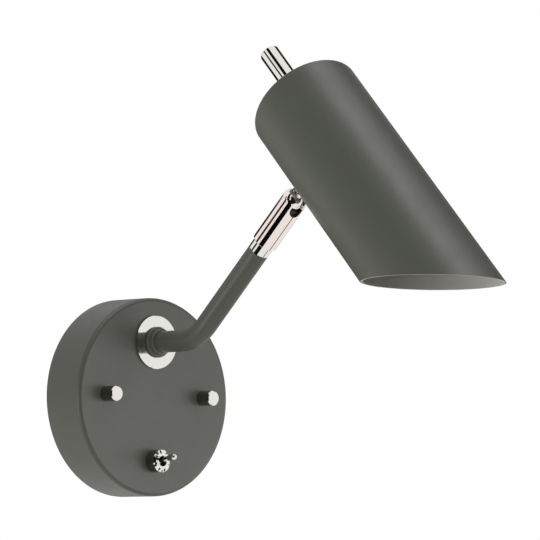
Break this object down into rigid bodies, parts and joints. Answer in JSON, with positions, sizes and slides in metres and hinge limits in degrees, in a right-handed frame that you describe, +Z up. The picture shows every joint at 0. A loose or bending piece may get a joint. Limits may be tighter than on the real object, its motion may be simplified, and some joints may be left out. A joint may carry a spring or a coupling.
{
  "type": "wall reading lamp",
  "caption": "Wall reading lamp: round cover with a toggle switch, bent swivel arm, slotted ball swivel, and a tube shade with a slanted mouth and a rod knob.",
  "frame": {"origin": "on the wall plane, in the middle of the bracket's cable hole, half way between the two wall slots and between the two cover studs", "axes": "+Y into the wall, -Y out into the room, +Z up, +X to the right for someone facing the wall"},
  "size_m": [0.12, 0.3098, 0.2662],
  "materials": {
    "satin_paint": "satin grey-green paint, fine texture",
    "polished_nickel": "mirror-polished nickel",
    "zinc_steel": "bright zinc",
    "plain_brass": "plain brass",
    "dark_moulding": "black moulding",
    "pale_moulding": "pale moulding",
    "lead_sleeve": "pale sleeve",
    "core_sleeve": "dark insulation of the single cores",
    "porcelain": "glazed porcelain",
    "lamp_body": "white moulding",
    "lamp_glass": "frosted lens"
  },
  "bodies": {
    "wall_side": {"canopy": "satin_paint", "wall_bracket": "zinc_steel", "bracket_studs": "zinc_steel", "stud_lock_nuts": "zinc_steel", "thumb_nuts": "polished_nickel", "terminal_block": "pale_moulding", "terminal_screws": "plain_brass", "earth_screw": "plain_brass", "earth_tag": "zinc_steel", "switch_case": "dark_moulding", "switch_neck": "zinc_steel", "switch_blades": "plain_brass", "switch_nut": "zinc_steel", "switch_washer": "zinc_steel", "dress_nut": "polished_nickel", "swivel_disc": "polished_nickel", "swivel_bush": "pale_moulding", "stop_pin": "zinc_steel", "switch_leads": "core_sleeve", "lamp_leads": "core_sleeve"},
    "lever": {"toggle_lever": "polished_nickel"},
    "arm": {"friction_washer": "pale_moulding", "stop_washer": "zinc_steel", "clamp_nuts": "zinc_steel", "arm_nipple": "zinc_steel", "arm_collar": "satin_paint", "arm_tube": "satin_paint", "arm_lead": "lead_sleeve", "ferrule": "polished_nickel"},
    "socket": {"swivel_socket": "polished_nickel", "ball_seat": "dark_moulding", "disc_springs": "zinc_steel"},
    "ball": {"swivel_ball": "polished_nickel"},
    "head": {"ball_stem": "polished_nickel", "saddle_washer": "polished_nickel", "inner_washer": "zinc_steel", "stem_nut": "zinc_steel", "shade": "satin_paint", "knob": "polished_nickel", "knob_screw": "zinc_steel", "holder_strap": "zinc_steel", "holder_screws": "zinc_steel", "holder_leads": "core_sleeve", "lampholder": "porcelain", "lamp": "lamp_body", "lamp_lens": "lamp_glass"}
  },
  "joints": [
    {"name": "switch_throw", "type": "hinge", "parent": "wall_side", "child": "lever", "pos_m": [0, -0.033, -0.0393], "axis": [1, 0, 0], "range_deg": [0, 19.2]},
    {"name": "arm_swivel", "type": "hinge", "parent": "wall_side", "child": "arm", "pos_m": [0, -0.03, 0.0326], "axis": [0, 1, 0], "range_deg": [-168, 161.5]},
    {"name": "socket_turn", "type": "hinge", "parent": "arm", "child": "socket", "pos_m": [0.00469, -0.14565, 0.11153], "axis": [0.0419, -0.7071, 0.7059], "range_deg": [-175, 175]},
    {"name": "head_tilt", "type": "hinge", "parent": "socket", "child": "ball", "pos_m": [0.00469, -0.14565, 0.11153], "axis": [0.9842, -0.0923, -0.1509], "range_deg": [-10, 90]},
    {"name": "head_spin", "type": "hinge", "parent": "ball", "child": "head", "pos_m": [0.00514, -0.15329, 0.11916], "axis": [0.0419, -0.7071, 0.7059], "range_deg": [-175, 175]}
  ]
}
